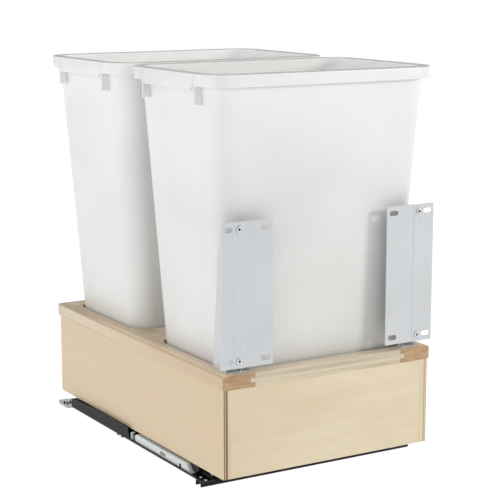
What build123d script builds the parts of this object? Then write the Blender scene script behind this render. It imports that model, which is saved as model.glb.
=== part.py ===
"""Pull-out waste cabinet insert: two lift-out bins in a maple-framed box on soft-close slides.

Millimetres. X runs across the opening, Y from the door (negative) to the back of the cabinet,
Z up from the cabinet floor. The origin is under the middle of the whole unit, on the floor.
"""

import os
from math import asin, atan, cos, degrees, radians, sin, sqrt

from build123d import *

os.makedirs("parts", exist_ok=True)

# ---------------------------------------------------------------- driving dimensions
# Wooden box: plywood sides, ends and bottom under a solid maple frame.
FRAME_WIDTH = 343.0
FRAME_DEPTH = 530.0
FRAME_THICK = 19.5
STILE_WIDTH = 51.0
TONGUE_LENGTH = 7.5
TONGUE_THICK = 6.5
GROOVE_SLACK = 0.2
FRAME_ROUND = 3.0
BOX_HEIGHT = 143.5
BOX_LIFT = 23.5
PLY = 12.5
BOTTOM_PLY = 12.0
FRAME_OVERHANG_SIDE = 2.0
FRAME_OVERHANG_FRONT = 1.5
FRAME_OVERHANG_BACK = 4.0

# Bins: drafted tubs under a turned-down rim, hanging free of the frame by a small gap.
BIN_HEIGHT = 531.0
BIN_PITCH = 277.5
FRONT_BIN_DEPTH = 127.5
BIN_FOOT = (272.0, 200.8)
BIN_TOP = (349.6, 230.0)
BIN_CORNER = 34.0
BIN_WALL = 2.5
BIN_FLOOR = 3.0
FOOT_BEVEL = 3.5
RIM = (370.4, 253.0, 43.8)
RIM_BEVEL = 1.0
RIM_SKIRT = 17.0
GRIP_SKIRT = 22.5
GRIP_HALF = (73.5, 66.0)
GRIP_WEBS = (-77.0, 69.0)
GRIP_WEB_HEIGHT = 42.0
OPENING = (295.0, 212.0, 30.0)

# Telescopic slides: three nested steel sections on two rows of balls each side.
SLIDE_CENTRE = 141.0
SHEET = 1.3
BALL = 4.5
TRACK_GAP = 0.25
SLIDE_BASE = 9.0
OUTER_TRACK = 19.05
TRACK_STEP = 0.8
MIDDLE_WEB_LIFT = 3.3
DRAWER_BEND = 2.2
CABINET_MEMBER = (48.0, 510.0)
MIDDLE_MEMBER = (55.0, 505.0)
DRAWER_MEMBER = (52.0, 505.0)
CAGE = (176.0, 378.0)
CAGE_SHEET = 0.6
CAGE_MARGIN = 1.1
OUTER_CAGE_DROP = 1.45
INNER_CAGE_DROP = 1.5
INNER_CAGE_LIFT = 0.4
INNER_CAGE_LEG = 0.7
BALLS_PER_ROW = 4
BALL_PITCH = 50.0
BALL_GRIP = 0.03

# Floor hardware: crossbars, runners, soft-close units and rear brackets.
PRESSED = 1.5
CROSSBAR_DEPTH = 15.0
CROSSBAR_HEIGHT = 7.5
FRONT_CROSSBAR = (51.5, 352.8)
REAR_CROSSBAR = (311.0, 338.0)
FLOOR_HOLE = 5.2
FLOOR_HOLE_SPACING = 140.0
RUNNER_EDGE = 176.0
RUNNER = (47.0, 476.0)
RUNNER_LIP = ((69.0, 7.5), (69.0, 12.5), (272.0, 12.5), (278.0, 20.5), (476.0, 20.5), (476.0, 7.5))
UNIT_GAP = 0.7
UNIT_WIDTH = 8.8
UNIT_OUTLINE = ((86.0, 9.0), (98.0, 21.0), (256.0, 21.0), (256.0, 9.0))
UNIT_TAIL_ROUND = 4.5
UNIT_RECESS = 1.2
UNIT_NOTCH = (116.0, 11.0, 5.0, 4.0)
UNIT_MARK = (168.0, 15.0, 16.0, 5.0)
UNIT_TRACK = (200.0, 21.0, 90.0, 3.0)
ANCHOR = (266.0, 16.6)
ANCHOR_RADII = (4.6, 2.5)
ANCHOR_OPEN = 0.8
ANCHOR_WIDTH = 5.0
STRIKER_EDGE = 169.0
STRIKER_WIDTH = 4.5
STRIKER_OUTLINE = ((70.0, 23.5), (72.0, 15.0), (78.0, 12.5), (87.0, 12.5), (95.0, 21.4), (97.0, 23.5))
BRACKET_EDGE = 174.0
BRACKET_OUTLINE = ((476.0, 21.0), (530.5, 5.5), (530.5, 3.0), (524.0, 0.0), (497.0, 0.0), (476.0, 6.0))
BRACKET_TOP = ((476.0, 21.0), (530.5, 5.5), (530.5, 4.0), (476.0, 19.5))
BRACKET_HOLES = ((485.0, 13.0), (496.0, 8.5), (508.0, 6.5))
BRACKET_HOLE = 3.6
BRACKET_TAB = 32.0
BRACKET_FOOT = (514.0, 28.0, 32.0)
BRACKET_TONGUE = (519.0, 16.0)
REAR_HOLE_INSET = 18.0
REAR_TIP = 541.4

# Door brackets: a gusseted post on the frame and a slotted plate that carries the door.
PLATE_WIDTH = 80.0
PLATE_HEIGHT = 198.0
PLATE_EDGE = 173.5
PLATE_LIFT = 9.5
PLATE_SHEET = 1.8
PLATE_FACE = -0.8
PLATE_CORNER = 2.0
RIB_WIDTH = 18.0
RIB_RISE = 1.2
RIB_SLOPE = 1.6
RIB_EDGE = 17.5
SLOT_HEIGHT = 7.0
SLOT_LENGTH = 15.5
INNER_SLOT_INSET = 11.5
OUTER_SLOT_INSET = 10.0
SLOT_MARGIN = 10.0
POST_EDGE = 157.0
POST_FLANGE = 29.0
POST_SHORTER = 5.0
POST_LIFT = 10.5
WING_BACK = ((27.5, 186.5), (36.5, 158.0), (50.5, 8.0))
FOOT_BEND = (16.0, 48.0)
FOOT_STRIP = 10.0
FOOT_PAD = (26.0, 8.0, 12.0)
SCREW_STAND = 3.6
SCREW_HEAD = 4.2
SCREW_DRIVE = (1.9, 1.2)

# ---------------------------------------------------------------- derived places
BOX_FRONT = -(REAR_TIP - SCREW_STAND) / 2
FRAME_TOP = BOX_LIFT + BOX_HEIGHT
FRAME_BASE = FRAME_TOP - FRAME_THICK
HALF_FRAME = FRAME_WIDTH / 2
HALF_BOX = HALF_FRAME - FRAME_OVERHANG_SIDE
RAIL_END = HALF_FRAME - STILE_WIDTH
BIN_BASE = BOX_LIFT + BOTTOM_PLY
RIM_TOP = BIN_BASE + BIN_HEIGHT
RUNNER_TOP = CROSSBAR_HEIGHT + PRESSED


def at(depth):
    """Y of a place that lies this far behind the front face of the frame."""
    return BOX_FRONT + depth


BIN_CENTRES = (at(FRONT_BIN_DEPTH), at(FRONT_BIN_DEPTH + BIN_PITCH))
FRAME_MIDDLE = at(FRAME_DEPTH / 2)


def save(piece, name):
    """Label one finished piece and write it."""
    piece.part.label = name
    export_step(piece.part, f"parts/{name}.step")


def save_pair(piece, name):
    """Write a left-hand piece and its mirror image on the right."""
    with BuildPart() as twin:
        mirror(piece.part, about=Plane.YZ)
    save(piece, f"{name}_left")
    save(twin, f"{name}_right")


def side_face(outline, edge):
    """Face seen from the side: a (depth, height) outline, this far left of the middle."""
    with BuildSketch(Plane.YZ.offset(-edge)) as face:
        with BuildLine():
            Polyline(*[(at(depth), height) for depth, height in outline], close=True)
        make_face()
    return face.sketch


# ---------------------------------------------------------------- wooden box
def frame_openings():
    """Sketch of the two routed bin openings, for the frame members to be cut with."""
    with BuildSketch(Plane.XY.offset(FRAME_BASE)) as openings:
        with Locations(*[(0, y) for y in BIN_CENTRES]):
            RectangleRounded(*OPENING)
    return openings.sketch


with BuildPart() as frame_stile:
    with BuildSketch(Plane.XY.offset(FRAME_BASE)):
        with Locations((-HALF_FRAME + STILE_WIDTH / 2, FRAME_MIDDLE)):
            Rectangle(STILE_WIDTH, FRAME_DEPTH)
    extrude(amount=FRAME_THICK)
    fillet(frame_stile.edges().filter_by(Axis.Y).group_by(Axis.X)[0], FRAME_ROUND)
    groove_depth = TONGUE_LENGTH + GROOVE_SLACK
    with Locations((-RAIL_END - groove_depth / 2, FRAME_MIDDLE, FRAME_BASE + FRAME_THICK / 2)):
        Box(groove_depth, FRAME_DEPTH, TONGUE_THICK, mode=Mode.SUBTRACT)
    extrude(frame_openings(), amount=FRAME_THICK, mode=Mode.SUBTRACT)
save_pair(frame_stile, "frame_stile")

opening_edges = [(y - OPENING[1] / 2, y + OPENING[1] / 2) for y in BIN_CENTRES]
frame_rails = {
    "front": (at(0), opening_edges[0][0]),
    "middle": (opening_edges[0][1], opening_edges[1][0]),
    "back": (opening_edges[1][1], at(FRAME_DEPTH)),
}
for place, (near, far) in frame_rails.items():
    with BuildPart() as frame_rail:
        with Locations((0, (near + far) / 2, FRAME_BASE + FRAME_THICK / 2)):
            Box(2 * RAIL_END, far - near, FRAME_THICK)
            Box(2 * (RAIL_END + TONGUE_LENGTH), far - near, TONGUE_THICK)
        extrude(frame_openings(), amount=FRAME_THICK, mode=Mode.SUBTRACT)
    save(frame_rail, f"frame_rail_{place}")

panel_height = BOX_HEIGHT - FRAME_THICK
panel_middle = BOX_LIFT + panel_height / 2
box_near = at(FRAME_OVERHANG_FRONT)
box_far = at(FRAME_DEPTH - FRAME_OVERHANG_BACK)
box_middle = (box_near + box_far) / 2
inner_width = 2 * (HALF_BOX - PLY)

with BuildPart() as side_panel:
    with Locations((-HALF_BOX + PLY / 2, box_middle, panel_middle)):
        Box(PLY, box_far - box_near, panel_height)
save_pair(side_panel, "side_panel")

for place, face in (("front_panel", box_near + PLY / 2), ("back_panel", box_far - PLY / 2)):
    with BuildPart() as end_panel:
        with Locations((0, face, panel_middle)):
            Box(inner_width, PLY, panel_height)
    save(end_panel, place)

with BuildPart() as bottom_panel:
    with Locations((0, box_middle, BOX_LIFT + BOTTOM_PLY / 2)):
        Box(inner_width, box_far - box_near - 2 * PLY, BOTTOM_PLY)
save(bottom_panel, "bottom_panel")

# ---------------------------------------------------------------- bins
spread = [(top - foot) / 2 for foot, top in zip(BIN_FOOT, BIN_TOP)]
side_draft, end_draft = [degrees(atan(way / BIN_HEIGHT)) for way in spread]


def tub(centre_y, rise, height, wall):
    """Solid drafted tub from this far above the bin's foot, drawn in by the wall all round."""
    width, depth = [foot + 2 * way * rise / BIN_HEIGHT - 2 * wall for foot, way in zip(BIN_FOOT, spread)]
    with BuildPart() as solid:
        with Locations((0, centre_y, BIN_BASE + rise + height / 2)):
            Box(width, depth, height)
        neutral = Plane.XY.offset(BIN_BASE + rise)
        draft(solid.faces().filter_by(Axis.X), neutral, -side_draft)
        draft(solid.faces().filter_by(Axis.Y), neutral, -end_draft)
        corners = solid.edges().filter_by(lambda edge: edge.bounding_box().size.Z > height / 2)
        fillet(corners, BIN_CORNER - wall)
    return solid


def rim_outline(margin):
    """Rounded outline of the rim, drawn in by a margin all round."""
    width, depth, corner = RIM
    return RectangleRounded(width - 2 * margin, depth - 2 * margin, corner - margin)


def waste_bin(centre_y):
    """Tub with a turned-down rim, and on each short side a deeper grip with two webs."""
    web_root = BIN_TOP[0] / 2 - 2 * BIN_WALL
    web_reach = RIM[0] / 2 - web_root
    with BuildPart() as shell:
        with BuildSketch(Plane.XY.offset(RIM_TOP - RIM_SKIRT)):
            with Locations((0, centre_y)):
                rim_outline(0)
        extrude(amount=RIM_SKIRT)
        chamfer(shell.edges().group_by(Axis.Z)[-1], RIM_BEVEL)
        with BuildSketch(Plane.XY.offset(RIM_TOP - RIM_SKIRT)):
            with Locations((0, centre_y)):
                rim_outline(BIN_WALL)
        extrude(amount=RIM_SKIRT - BIN_WALL, mode=Mode.SUBTRACT)
        for side in (-1, 1):
            with BuildSketch(Plane.YZ.offset(side * RIM[0] / 2)):
                with BuildLine():
                    Polyline(
                        (centre_y - GRIP_HALF[0], RIM_TOP - RIM_SKIRT),
                        (centre_y - GRIP_HALF[1], RIM_TOP - GRIP_SKIRT),
                        (centre_y + GRIP_HALF[1], RIM_TOP - GRIP_SKIRT),
                        (centre_y + GRIP_HALF[0], RIM_TOP - RIM_SKIRT),
                        close=True,
                    )
                make_face()
            extrude(amount=-side * BIN_WALL)
            web_x = side * (web_root + web_reach / 2)
            web_z = RIM_TOP - (GRIP_WEB_HEIGHT + BIN_WALL) / 2
            with Locations(*[(web_x, centre_y + y, web_z) for y in GRIP_WEBS]):
                Box(web_reach, BIN_WALL, GRIP_WEB_HEIGHT - BIN_WALL)
        outside = tub(centre_y, 0, BIN_HEIGHT, 0)
        with outside:
            chamfer(outside.faces().sort_by(Axis.Z)[0].edges(), FOOT_BEVEL)
        add(outside.part)
        add(tub(centre_y, BIN_FLOOR, BIN_HEIGHT, BIN_WALL).part, mode=Mode.SUBTRACT)
    return shell


save(waste_bin(BIN_CENTRES[0]), "front_bin")
save(waste_bin(BIN_CENTRES[1]), "rear_bin")

# ---------------------------------------------------------------- telescopic slides
# Section of the left slide, measured across from its middle. Each flange is bent round the
# row of balls that it runs on, so its centre line is an arc about the ball's centre.
track_radius = BALL / 2 + TRACK_GAP + SHEET / 2
outer_ball = (OUTER_TRACK, SLIDE_BASE + SHEET / 2 + track_radius)
half_turn = track_radius * sqrt(0.5)
step = TRACK_STEP * sqrt(0.5)
inner_ball = (outer_ball[0] - 2 * half_turn + step, outer_ball[1] + 2 * half_turn + step)
cabinet_web = SLIDE_BASE + SHEET / 2
middle_web = SLIDE_BASE + MIDDLE_WEB_LIFT
drawer_web = BOX_LIFT - SHEET / 2


def round_ball(ball, angle, side):
    """Point of the flange's centre line, at an angle about a ball on one side of the slide."""
    turn = radians(angle)
    return (side * (ball[0] + track_radius * cos(turn)), ball[1] + track_radius * sin(turn))


def wrap(ball, start, middle, end, side):
    """Arc of a flange's centre line about a ball, through three angles."""
    ThreePointArc(*[round_ball(ball, angle, side) for angle in (start, middle, end)])


def slide_member(span, draw_line):
    """Sheet section of the left slide, traced from its centre line and run from end to end."""
    near, far = span
    with BuildPart() as member:
        section = Plane(origin=(-SLIDE_CENTRE, at(near), 0), x_dir=(1, 0, 0), z_dir=(0, -1, 0))
        with BuildSketch(section):
            with BuildLine() as centre_line:
                draw_line()
            trace(centre_line.line, line_width=SHEET)
        extrude(amount=-(far - near))
    return member


def cabinet_line():
    """Flat web with its edges rolled up and over the outer balls."""
    Line(round_ball(outer_ball, -90, -1), round_ball(outer_ball, -90, 1))
    for side in (-1, 1):
        wrap(outer_ball, -90, -15, 60, side)


def middle_line():
    """Web whose edges turn out under the outer balls and back in over the inner ones."""
    meet = 180 + degrees(asin((outer_ball[1] - middle_web) / track_radius))
    Line(round_ball(outer_ball, meet, -1), round_ball(outer_ball, meet, 1))
    for side in (-1, 1):
        wrap(outer_ball, meet, (meet + 135) / 2, 135, side)
        Line(round_ball(outer_ball, 135, side), round_ball(inner_ball, -45, side))
        wrap(inner_ball, -45, 15, 75, side)


def drawer_line():
    """Top web, bent down at its edges and hollowed round the inner balls."""
    entry = round_ball(inner_ball, 150, 1)
    leave = (DRAWER_BEND * cos(radians(30)), -DRAWER_BEND * sin(radians(30)))
    centre_z = drawer_web - DRAWER_BEND
    run = (centre_z + leave[1] - entry[1]) / sin(radians(60))
    centre_x = entry[0] + run * cos(radians(60)) - leave[0]
    Line((-centre_x, drawer_web), (centre_x, drawer_web))
    for side in (-1, 1):
        bend = [
            (side * (centre_x + DRAWER_BEND * cos(turn)), centre_z + DRAWER_BEND * sin(turn))
            for turn in (radians(90), radians(30), radians(-30))
        ]
        ThreePointArc(*bend)
        Line(bend[-1], round_ball(inner_ball, 150, side))
        wrap(inner_ball, 150, 192, 235, side)


save_pair(slide_member(CABINET_MEMBER, cabinet_line), "cabinet_member")
save_pair(slide_member(MIDDLE_MEMBER, middle_line), "middle_member")
save_pair(slide_member(DRAWER_MEMBER, drawer_line), "drawer_member")

cage_middle = at(sum(CAGE) / 2)
cage_length = CAGE[1] - CAGE[0]
first_ball = cage_middle - BALL_PITCH * (BALLS_PER_ROW - 1) / 2
ball_rows = [first_ball + n * BALL_PITCH for n in range(BALLS_PER_ROW)]


def ball_places(ball):
    """Centres of the two rows of balls that run at this place in the section."""
    return [(-SLIDE_CENTRE + side * ball[0], y, ball[1]) for side in (-1, 1) for y in ball_rows]


def facet_ball(radius):
    """Ball of 26 flat facets, light enough to repeat in long rows."""
    with BuildPart() as ball:
        Box(2 * radius, 2 * radius, 2 * radius)
        chamfer(ball.edges(), radius * (2 - sqrt(2)))
    return ball.part


def cut_pockets(places):
    """Cut the pockets, a shade tighter than the balls, that hold a row of balls in its cage."""
    pocket = facet_ball(BALL / 2 - BALL_GRIP)
    with Locations(*places):
        add(pocket, mode=Mode.SUBTRACT)


with BuildPart() as outer_cage:
    with BuildSketch(Plane.XY.offset(outer_ball[1] - OUTER_CAGE_DROP)):
        with Locations((-SLIDE_CENTRE, cage_middle)):
            Rectangle(2 * (OUTER_TRACK + CAGE_MARGIN), cage_length)
    extrude(amount=-CAGE_SHEET)
    cut_pockets(ball_places(outer_ball))
save_pair(outer_cage, "outer_cage")

inner_cage_base = middle_web + SHEET / 2 + INNER_CAGE_LIFT
inner_leg = inner_ball[0] - INNER_CAGE_LEG / 2
with BuildPart() as inner_cage:
    with BuildSketch(Plane.XY.offset(inner_cage_base)):
        with Locations((-SLIDE_CENTRE, cage_middle)):
            Rectangle(2 * inner_leg, cage_length)
    extrude(amount=CAGE_SHEET)
    with BuildSketch(Plane.XY.offset(inner_cage_base)):
        leg_centre = inner_leg - INNER_CAGE_LEG / 2
        with Locations(*[(-SLIDE_CENTRE + side * leg_centre, cage_middle) for side in (-1, 1)]):
            Rectangle(INNER_CAGE_LEG, cage_length)
    extrude(amount=inner_ball[1] - INNER_CAGE_DROP - inner_cage_base)
    cut_pockets(ball_places(inner_ball))
save_pair(inner_cage, "inner_cage")

for row, ball in (("outer_balls", outer_ball), ("inner_balls", inner_ball)):
    with BuildPart() as balls:
        bearing = facet_ball(BALL / 2)
        with Locations(*ball_places(ball)):
            add(bearing)
    save_pair(balls, row)

# ---------------------------------------------------------------- floor hardware
for place, (near, length) in (("front", FRONT_CROSSBAR), ("rear", REAR_CROSSBAR)):
    middle = at(near) + CROSSBAR_DEPTH / 2
    with BuildPart() as crossbar:
        with BuildSketch(Plane.YZ.offset(-length / 2)):
            with Locations((middle, CROSSBAR_HEIGHT / 2)):
                channel = Rectangle(CROSSBAR_DEPTH, CROSSBAR_HEIGHT)
            fillet(channel.vertices().group_by(Axis.Y)[-1], PRESSED)
            with Locations((middle, (CROSSBAR_HEIGHT - PRESSED) / 2)):
                Rectangle(CROSSBAR_DEPTH - 2 * PRESSED, CROSSBAR_HEIGHT - PRESSED, mode=Mode.SUBTRACT)
        extrude(amount=length)
        with Locations(*[(side * FLOOR_HOLE_SPACING / 2, middle, CROSSBAR_HEIGHT) for side in (-1, 1)]):
            Cylinder(FLOOR_HOLE / 2, 3 * PRESSED, mode=Mode.SUBTRACT)
    save(crossbar, f"{place}_crossbar")

slide_side = SLIDE_CENTRE + OUTER_TRACK + track_radius
with BuildPart() as floor_runner:
    with BuildSketch(Plane.XY.offset(CROSSBAR_HEIGHT)):
        with Locations((-(RUNNER_EDGE + slide_side) / 2, at(sum(RUNNER) / 2))):
            Rectangle(RUNNER_EDGE - slide_side, RUNNER[1] - RUNNER[0])
    extrude(amount=PRESSED)
    extrude(side_face(RUNNER_LIP, RUNNER_EDGE), amount=PRESSED)
save_pair(floor_runner, "floor_runner")

unit_edge = RUNNER_EDGE - PRESSED - UNIT_GAP
with BuildPart() as soft_close_unit:
    extrude(side_face(UNIT_OUTLINE, unit_edge), amount=UNIT_WIDTH)
    tail = soft_close_unit.edges().filter_by(Axis.X).group_by(Axis.Y)[-1]
    fillet(tail, UNIT_TAIL_ROUND)
    with BuildSketch(Plane.YZ.offset(-unit_edge)):
        with Locations((at(UNIT_NOTCH[0]), UNIT_NOTCH[1])):
            Rectangle(*UNIT_NOTCH[2:])
        with Locations((at(UNIT_MARK[0]), UNIT_MARK[1])):
            SlotOverall(*UNIT_MARK[2:])
    extrude(amount=UNIT_RECESS, mode=Mode.SUBTRACT)
    with Locations((-unit_edge + UNIT_WIDTH / 2, at(UNIT_TRACK[0]), UNIT_TRACK[1])):
        Box(UNIT_TRACK[3], UNIT_TRACK[2], UNIT_TRACK[3], mode=Mode.SUBTRACT)
save_pair(soft_close_unit, "soft_close_unit")

anchor_y, anchor_z = at(ANCHOR[0]), ANCHOR[1]
ring_radius, bore_radius = ANCHOR_RADII
stem_height = anchor_z - bore_radius - RUNNER_TOP
with BuildPart() as spring_anchor:
    with BuildSketch(Plane.YZ.offset(-unit_edge)):
        with Locations((anchor_y, anchor_z)):
            Circle(ring_radius)
            Circle(bore_radius, mode=Mode.SUBTRACT)
        with Locations((anchor_y - ring_radius - ANCHOR_OPEN, anchor_z)):
            Rectangle(2 * ring_radius, 2 * ring_radius, mode=Mode.SUBTRACT)
        with Locations((anchor_y - ANCHOR_OPEN + ring_radius / 2, RUNNER_TOP + stem_height / 2)):
            Rectangle(ring_radius, stem_height)
    extrude(amount=ANCHOR_WIDTH)
save_pair(spring_anchor, "spring_anchor")

with BuildPart() as striker:
    extrude(side_face(STRIKER_OUTLINE, STRIKER_EDGE), amount=STRIKER_WIDTH)
save_pair(striker, "striker")

with BuildPart() as rear_bracket:
    extrude(side_face(BRACKET_OUTLINE, BRACKET_EDGE), amount=PRESSED)
    with BuildSketch(Plane.YZ.offset(-BRACKET_EDGE)):
        with Locations(*[(at(depth), height) for depth, height in BRACKET_HOLES]):
            Circle(BRACKET_HOLE / 2)
    extrude(amount=PRESSED, mode=Mode.SUBTRACT)
    extrude(side_face(BRACKET_TOP, BRACKET_EDGE), amount=BRACKET_EDGE - slide_side - SHEET)
    with BuildSketch(Plane.XY.offset(CROSSBAR_HEIGHT)):
        with Locations((-(BRACKET_EDGE + slide_side) / 2, at(RUNNER[1]) + BRACKET_TAB / 2)):
            Rectangle(BRACKET_EDGE - slide_side, BRACKET_TAB)
    extrude(amount=PRESSED)
    with BuildSketch():
        foot_depth, foot_width, foot_length = BRACKET_FOOT
        hole_depth, tongue_width = BRACKET_TONGUE
        tongue_length = REAR_TIP - hole_depth
        with Locations((-BRACKET_EDGE + foot_width / 2, at(foot_depth))):
            Rectangle(foot_width, foot_length)
        with Locations((-BRACKET_EDGE + REAR_HOLE_INSET, at(REAR_TIP) - tongue_length / 2)):
            Rectangle(tongue_width, tongue_length)
        with Locations((-BRACKET_EDGE + REAR_HOLE_INSET, at(hole_depth))):
            Circle(FLOOR_HOLE / 2, mode=Mode.SUBTRACT)
    extrude(amount=PRESSED)
save_pair(rear_bracket, "rear_bracket")

# ---------------------------------------------------------------- door brackets
plate_base = FRAME_TOP + PLATE_LIFT
plate_top = plate_base + PLATE_HEIGHT
rib_near = -PLATE_EDGE + RIB_EDGE
rib_far = rib_near + RIB_WIDTH
rib_middle = (rib_near + rib_far) / 2
plate_far = -PLATE_EDGE + PLATE_WIDTH
plate_rows = (plate_base + SLOT_MARGIN, plate_top - SLOT_MARGIN)
plate_front = at(PLATE_FACE)
post_face = plate_front + PLATE_SHEET
plate_line = (
    (-PLATE_EDGE, 0),
    (rib_near, 0),
    (rib_near + RIB_SLOPE, -RIB_RISE),
    (rib_far - RIB_SLOPE, -RIB_RISE),
    (rib_far, 0),
    (plate_far, 0),
)

with BuildPart() as door_plate:
    with BuildSketch(Plane.XY.offset(plate_base)):
        with BuildLine():
            front = [(x, plate_front + y) for x, y in plate_line]
            back = [(x, post_face + y) for x, y in reversed(plate_line)]
            Polyline(*front, *back, close=True)
        make_face()
    extrude(amount=PLATE_HEIGHT)
    corners = door_plate.edges().filter_by(Axis.Y).group_by(Axis.X)
    fillet(corners[0] + corners[-1], PLATE_CORNER)
    with BuildSketch(Plane.XZ.offset(-post_face)):
        slot_columns = (-PLATE_EDGE + OUTER_SLOT_INSET, plate_far - INNER_SLOT_INSET)
        with Locations(*[(x, row) for x in slot_columns for row in plate_rows]):
            SlotOverall(SLOT_LENGTH, SLOT_HEIGHT)
    extrude(amount=2 * PLATE_SHEET, mode=Mode.SUBTRACT)
save_pair(door_plate, "door_plate")

flange_base = FRAME_TOP + POST_LIFT
flange_height = plate_top - POST_SHORTER - flange_base
bend_front, bend_back = at(FOOT_BEND[0]), at(FOOT_BEND[1])
wing_line = (
    (post_face, flange_base),
    (post_face, FRAME_TOP + WING_BACK[0][1]),
    *[(at(depth), FRAME_TOP + rise) for depth, rise in WING_BACK],
    (bend_back, FRAME_TOP),
    (bend_front, FRAME_TOP),
    (bend_front, flange_base),
)
pad_width, pad_start, pad_length = FOOT_PAD
with BuildPart() as door_post:
    with BuildSketch(Plane.XY.offset(flange_base)):
        with Locations((-POST_EDGE + POST_FLANGE / 2, post_face + PRESSED / 2)):
            Rectangle(POST_FLANGE, PRESSED)
    extrude(amount=flange_height)
    with BuildSketch(Plane.YZ.offset(-POST_EDGE)):
        with BuildLine():
            Polyline(*wing_line, close=True)
        make_face()
    extrude(amount=PRESSED)
    # Foot with a strip along the bend and a wider pad ahead of the bin's opening.
    with BuildSketch(Plane.XY.offset(FRAME_TOP)):
        with Locations((-POST_EDGE + FOOT_STRIP / 2, (bend_front + bend_back) / 2)):
            Rectangle(FOOT_STRIP, bend_back - bend_front)
        with Locations((-POST_EDGE + POST_FLANGE - pad_width / 2, at(pad_start) + pad_length / 2)):
            Rectangle(pad_width, pad_length)
    extrude(amount=PRESSED)
save_pair(door_post, "door_post")

rib_face = at(PLATE_FACE - RIB_RISE)
screw_front = at(-SCREW_STAND)
screw_places = [(rib_middle, row) for row in plate_rows]
drive_radius, drive_depth = SCREW_DRIVE
with BuildPart() as plate_screws:
    with BuildSketch(Plane.XZ.offset(-rib_face)):
        with Locations(*screw_places):
            Circle(SCREW_HEAD)
    extrude(amount=rib_face - screw_front)
    with BuildSketch(Plane.XZ.offset(-screw_front)):
        with Locations(*screw_places):
            RegularPolygon(drive_radius, 6)
    extrude(amount=-drive_depth, mode=Mode.SUBTRACT)
save_pair(plate_screws, "plate_screws")
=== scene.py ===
"""Dresses the pull-out waste cabinet insert: wooden box, two bins, slides and door brackets."""

from __future__ import annotations

import logging
from dataclasses import dataclass, replace
from enum import Enum
from math import cos, pi, radians, sin
from typing import Any, Callable, Iterable, Sequence, Union

import bmesh
import bpy
from mathutils import Matrix, Vector


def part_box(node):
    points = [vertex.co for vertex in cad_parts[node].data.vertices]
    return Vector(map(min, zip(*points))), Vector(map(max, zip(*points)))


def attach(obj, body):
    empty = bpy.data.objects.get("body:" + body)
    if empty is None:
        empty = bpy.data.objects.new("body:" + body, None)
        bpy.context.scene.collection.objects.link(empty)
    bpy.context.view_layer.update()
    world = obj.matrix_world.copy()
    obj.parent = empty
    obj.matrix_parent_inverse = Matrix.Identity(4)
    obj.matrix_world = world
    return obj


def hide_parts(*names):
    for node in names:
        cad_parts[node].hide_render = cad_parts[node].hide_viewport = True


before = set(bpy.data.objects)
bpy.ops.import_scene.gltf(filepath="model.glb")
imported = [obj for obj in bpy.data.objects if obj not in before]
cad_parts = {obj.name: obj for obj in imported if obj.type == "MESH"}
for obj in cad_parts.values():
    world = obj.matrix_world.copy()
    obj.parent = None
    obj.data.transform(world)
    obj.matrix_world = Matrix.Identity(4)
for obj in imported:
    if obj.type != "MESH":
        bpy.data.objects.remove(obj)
log = logging.getLogger("insert")

MM = 0.001
WELD = 1e-6  # vertices of a CAD mesh nearer than this, in metres, become one
FLAT = radians(0.4)  # its faces that turn by less than this become one
GENTLE = 0.01  # edges that turn by more than this, in radians, are shaded smooth
SHARP = radians(35)  # edges that turn by more than this are rounded instead
SQUARE = 0.99  # a normal with more of itself than this along an axis lies along it
TOWARDS = 0.5  # a normal with more of itself than this along an axis looks that way

Colour = tuple[float, float, float]
Section = tuple[float, float, float, float]  # width, depth, corner radius and height
Socket = bpy.types.NodeSocket
Value = Union["Signal", Socket, float, int, tuple]


# ---------------------------------------------------------------- shader tools
class Signal:
    """A number that changes over a surface, which joins in Python sums."""

    def __init__(self, shader: Shader, socket: Socket) -> None:
        """Wrap one socket of a shader's tree."""
        self.shader = shader
        self.socket = socket

    def math(self, operation: str, *operands: Value, clamp: bool = False) -> Signal:
        """Add one Math node.

        Args:
            operation: Name of the Math node's operation.
            *operands: Values or signals, in the order of its sockets.
            clamp: Whether the result is held between 0 and 1.

        Returns:
            The node's result.
        """
        settings = {"operation": operation, "use_clamp": clamp}
        node = self.shader.node("ShaderNodeMath", settings, dict(enumerate(operands)))
        return Signal(self.shader, node.outputs[0])

    def __add__(self, other: Value) -> Signal:
        """Sum."""
        return self.math("ADD", self, other)

    def __radd__(self, other: Value) -> Signal:
        """Sum, from the right."""
        return self.math("ADD", other, self)

    def __sub__(self, other: Value) -> Signal:
        """Difference."""
        return self.math("SUBTRACT", self, other)

    def __rsub__(self, other: Value) -> Signal:
        """Difference, from the right."""
        return self.math("SUBTRACT", other, self)

    def __mul__(self, other: Value) -> Signal:
        """Product."""
        return self.math("MULTIPLY", self, other)

    def __rmul__(self, other: Value) -> Signal:
        """Product, from the right."""
        return self.math("MULTIPLY", other, self)

    def above(self, edge: float, soft: float) -> Signal:
        """Rise from 0 to 1 as the signal passes an edge.

        Args:
            edge: Value at which the result is half.
            soft: Width of the rise.

        Returns:
            The risen signal, held between 0 and 1.
        """
        return self.math("MULTIPLY_ADD", self, 1 / soft, 0.5 - edge / soft, clamp=True)


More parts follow.
